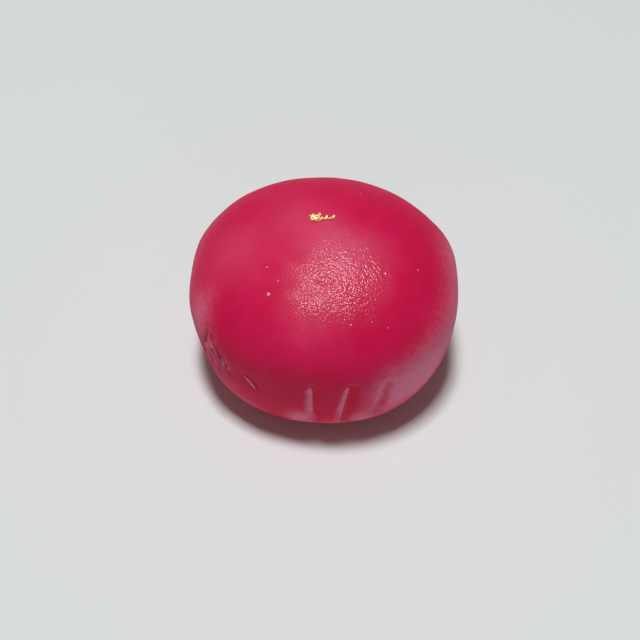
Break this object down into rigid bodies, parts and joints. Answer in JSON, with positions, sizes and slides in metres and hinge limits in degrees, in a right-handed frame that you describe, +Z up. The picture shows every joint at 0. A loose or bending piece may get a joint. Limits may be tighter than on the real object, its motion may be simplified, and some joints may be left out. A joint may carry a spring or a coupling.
{
  "type": "mochi rice cake",
  "caption": "Round, hand-shaped mochi rice cake: a smooth crimson dome on a flat spot, with pressed grooves down its front and a crumb of gold leaf on top.",
  "frame": {"origin": "middle of the cake's box, at the base it rests on", "axes": "+X to the cake's right along its longest side, +Y to its back, away from the grooves, +Z up"},
  "size_m": [0.0496, 0.0466, 0.036],
  "materials": {
    "mochi_skin": "moist and satin, crimson rice dough with a trace of starch",
    "gold_leaf": "crumpled thin leaf, bright",
    "starch": "dry white potato starch in crumbs"
  },
  "bodies": {
    "root": {"rice_cake": "mochi_skin"}
  },
  "joints": []
}
